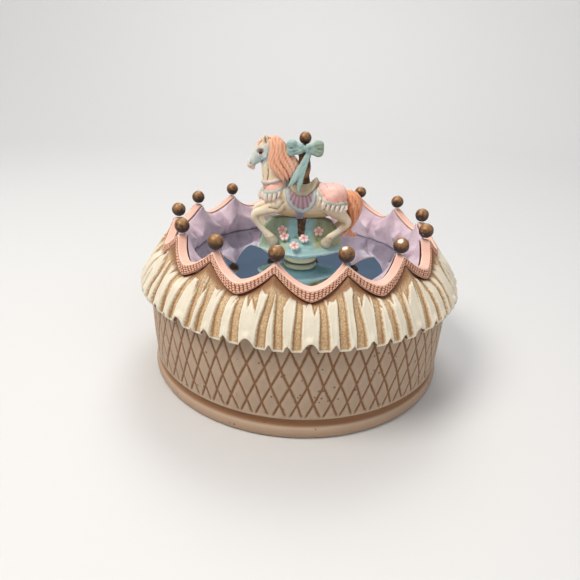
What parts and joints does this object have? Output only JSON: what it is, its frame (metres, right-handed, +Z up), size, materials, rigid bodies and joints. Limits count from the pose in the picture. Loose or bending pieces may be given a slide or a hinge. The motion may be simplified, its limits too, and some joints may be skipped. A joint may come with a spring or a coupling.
{
  "type": "carousel music box",
  "caption": "Round resin music box with ruffled skirt, scalloped rim and ball trim, and a carousel horse on a pole turning over a mirror; wind-up movement inside.",
  "frame": {"origin": "centre of the base at table level, on the axis of the turntable", "axes": "+Z up along the pole; -X is the way the horse faces; -Y is the front of the box"},
  "size_m": [0.1304, 0.1304, 0.0951],
  "materials": {
    "drum_resin": "matte painted cast resin, engraved lattice",
    "ruffle_resin": "matte painted cast resin with tan wash in the flutes",
    "rim_resin": "satin painted cast resin with brown wash in the weave",
    "gold_resin": "antique gold paint on cast resin, worn",
    "mirror_glass": "polished",
    "ribbon_satin": "sheer satin ribbon",
    "zinc": "as-cast zinc alloy",
    "steel": "ground",
    "brass": "turned",
    "disc_resin": "satin painted cast resin",
    "mound_resin": "satin painted cast resin, teal with green sides",
    "pole_resin": "antique copper paint on cast resin",
    "bow_resin": "satin painted cast resin",
    "horse_resin": "satin painted cast resin with tan wash",
    "mane_resin": "satin painted cast resin",
    "saddle_resin": "matte painted cast resin",
    "blanket_resin": "ribbed painted cast resin with an aqua border",
    "blush_resin": "painted cast resin with aqua bands and a cream fringe",
    "bridle_resin": "painted cast resin",
    "flower_resin": "painted cast resin"
  },
  "bodies": {
    "base": {"drum_shell": "drum_resin", "ruffle_skirt": "ruffle_resin", "scalloped_rim": "rim_resin", "rim_ball_01": "gold_resin", "rim_ball_02": "gold_resin", "rim_ball_03": "gold_resin", "rim_ball_04": "gold_resin", "rim_ball_05": "gold_resin", "rim_ball_06": "gold_resin", "rim_ball_07": "gold_resin", "rim_ball_08": "gold_resin", "rim_ball_09": "gold_resin", "rim_ball_10": "gold_resin", "rim_ball_11": "gold_resin", "rim_ball_12": "gold_resin", "rim_ball_13": "gold_resin", "rim_ball_14": "gold_resin", "mirror_disc": "mirror_glass", "ribbon": "ribbon_satin", "bedplate": "zinc", "comb": "steel", "comb_screw_1": "steel", "comb_screw_2": "steel", "mounting_screw_1": "steel", "mounting_screw_2": "steel", "mounting_screw_3": "steel", "cylinder_bearing_inner": "brass", "cylinder_bearing_outer": "brass", "governor_bracket": "brass"},
    "turntable": {"spring_barrel": "brass", "drive_shaft": "steel", "mainspring": "steel", "turntable_disc": "disc_resin", "mound": "mound_resin", "pole": "pole_resin", "pole_finial": "gold_resin", "bow": "bow_resin", "horse": "horse_resin", "mane": "mane_resin", "tail": "mane_resin", "saddle": "saddle_resin", "saddle_blanket": "blanket_resin", "rump_blanket": "blush_resin", "chest_collar": "blush_resin", "bridle": "bridle_resin", "flower_1": "flower_resin", "flower_2": "flower_resin", "flower_3": "flower_resin", "flower_4": "flower_resin", "flower_5": "flower_resin"},
    "cylinder": {"pinned_cylinder": "brass"},
    "wheel": {"second_wheel": "brass"},
    "governor": {"governor_fan": "steel"},
    "key": {"winding_arbor": "steel", "winding_key": "steel"}
  },
  "joints": [
    {"name": "figure_spin", "type": "hinge", "parent": "base", "child": "turntable", "pos_m": [0, 0, 0], "axis": [0, 0, 1], "continuous": true},
    {"name": "cylinder_spin", "type": "hinge", "parent": "base", "child": "cylinder", "pos_m": [0, 0, 0.0273], "axis": [1, 0, 0], "continuous": true},
    {"name": "wheel_spin", "type": "hinge", "parent": "base", "child": "wheel", "pos_m": [0, 0.0084, 0.0238], "axis": [1, 0, 0], "continuous": true},
    {"name": "governor_spin", "type": "hinge", "parent": "base", "child": "governor", "pos_m": [0.034, 0.0161, 0], "axis": [0, 0, 1], "continuous": true},
    {"name": "key_wind", "type": "hinge", "parent": "base", "child": "key", "pos_m": [0, 0, 0], "axis": [0, 0, 1], "range_deg": [0, 1890]}
  ],
  "couplings": [
    {"joint": "cylinder_spin", "follows": "figure_spin", "ratio": 3},
    {"joint": "wheel_spin", "follows": "figure_spin", "ratio": -12},
    {"joint": "governor_spin", "follows": "figure_spin", "ratio": 288}
  ]
}
